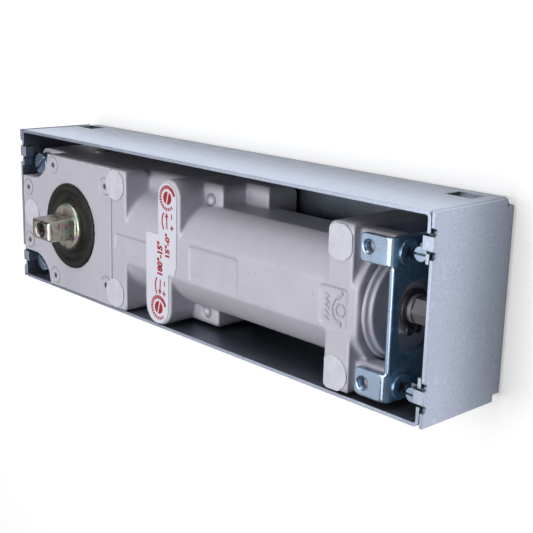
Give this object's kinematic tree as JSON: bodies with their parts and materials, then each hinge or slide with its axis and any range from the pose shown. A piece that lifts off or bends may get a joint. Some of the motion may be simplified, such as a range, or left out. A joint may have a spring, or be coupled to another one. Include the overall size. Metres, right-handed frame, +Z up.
{
  "type": "floor spring door closer",
  "caption": "Floor spring door closer in a folded sheet cement box, with a flattened door spindle, heart cam, roller cage, piston, main spring, speed valves and spring force adjuster.",
  "frame": {"origin": "on the door spindle axis, at the underside of the cement box", "axes": "+Z up along the door spindle, +X along the box towards the spring end, +Y towards the wider gap beside the closer"},
  "size_m": [0.285, 0.082, 0.069],
  "materials": {
    "galvanised_sheet": "galvanised sheet, satin with faint spangle",
    "painted_casting": "silver-grey paint on an iron casting, satin",
    "blue_zinc": "blue passivated zinc plate, glossy",
    "yellow_zinc": "iridescent passivated zinc with brown stains",
    "ground_steel": "ground steel, oiled",
    "spring_steel": "oil tempered spring wire",
    "grey_steel": "phosphated steel, matt",
    "brass_screw": "turned brass",
    "black_rubber": "moulded nitrile rubber",
    "gasket_sheet": "pressed gasket sheet",
    "printed_label": "white film with red print",
    "pad_film": "white self-adhesive pads"
  },
  "bodies": {
    "box": {"cement_box": "galvanised_sheet", "levelling_screws": "blue_zinc"},
    "closer": {"housing": "painted_casting", "cover_plate": "painted_casting", "cover_gasket": "gasket_sheet", "cover_screws": "ground_steel", "spindle_seal": "black_rubber", "upper_bearing": "ground_steel", "lower_bearing": "ground_steel", "main_spring": "spring_steel", "adjuster_seal": "black_rubber", "end_cap": "painted_casting", "end_cap_seal": "black_rubber", "bracket": "blue_zinc", "bracket_screws": "blue_zinc", "duct_plugs": "ground_steel", "side_plug": "grey_steel", "fixing_screws": "blue_zinc", "fixing_washers": "blue_zinc", "valve_label": "printed_label", "cover_pads": "pad_film"},
    "door_spindle": {"spindle": "yellow_zinc", "cam_disc": "ground_steel", "cam_key": "ground_steel", "cam_spacer": "ground_steel"},
    "roller_cage": {"upper_cage_plate": "ground_steel", "lower_cage_plate": "ground_steel", "cage_pins": "ground_steel", "piston": "ground_steel", "piston_ring": "black_rubber", "check_valve": "brass_screw"},
    "front_cam_roller": {"front_roller": "ground_steel"},
    "rear_cam_roller": {"rear_roller": "ground_steel"},
    "adjuster": {"force_adjuster": "grey_steel", "adjuster_circlip": "spring_steel"},
    "seat": {"spring_seat": "ground_steel"},
    "closing_screw": {"closing_valve": "brass_screw", "valve_seals_closing": "black_rubber"},
    "latching_screw": {"latching_valve": "brass_screw", "valve_seals_latching": "black_rubber"}
  },
  "joints": [
    {"name": "closer_shift", "type": "slide", "parent": "box", "child": "closer", "axis": [0, 1, 0], "range_m": [0, 0.0072]},
    {"name": "spindle_turn", "type": "hinge", "parent": "closer", "child": "door_spindle", "pos_m": [0, 0, 0.05], "axis": [0, 0, 1], "range_deg": [0, 175], "stiffness_Nm_per_rad": 4, "springref_deg": -68.75},
    {"name": "cage_slide", "type": "slide", "parent": "closer", "child": "roller_cage", "axis": [1, 0, 0], "range_m": [0, 0.01361], "deforming": ["main_spring"]},
    {"name": "front_roller_spin", "type": "hinge", "parent": "roller_cage", "child": "front_cam_roller", "pos_m": [0.0195, 0, 0.0264], "axis": [0, 0, 1], "continuous": true},
    {"name": "rear_roller_spin", "type": "hinge", "parent": "roller_cage", "child": "rear_cam_roller", "pos_m": [-0.0335, 0, 0.0264], "axis": [0, 0, 1], "continuous": true},
    {"name": "adjuster_turn", "type": "hinge", "parent": "closer", "child": "adjuster", "pos_m": [0.2, 0, 0.0264], "axis": [1, 0, 0], "range_deg": [0, 2880]},
    {"name": "seat_slide", "type": "slide", "parent": "closer", "child": "seat", "axis": [-1, 0, 0], "range_m": [0, 0.01199], "deforming": ["main_spring"]},
    {"name": "closing_valve_turn", "type": "hinge", "parent": "closer", "child": "closing_screw", "pos_m": [0.0766, -0.026, 0.04], "axis": [0, 0, 1], "range_deg": [0, 720]},
    {"name": "latching_valve_turn", "type": "hinge", "parent": "closer", "child": "latching_screw", "pos_m": [0.083, 0.0273, 0.04], "axis": [0, 0, 1], "range_deg": [0, 720]}
  ],
  "couplings": [
    {"joint": "spindle_turn", "follows": "cage_slide", "rad_per_m": 224.4},
    {"joint": "adjuster_turn", "follows": "seat_slide", "rad_per_m": 4188.8}
  ]
}
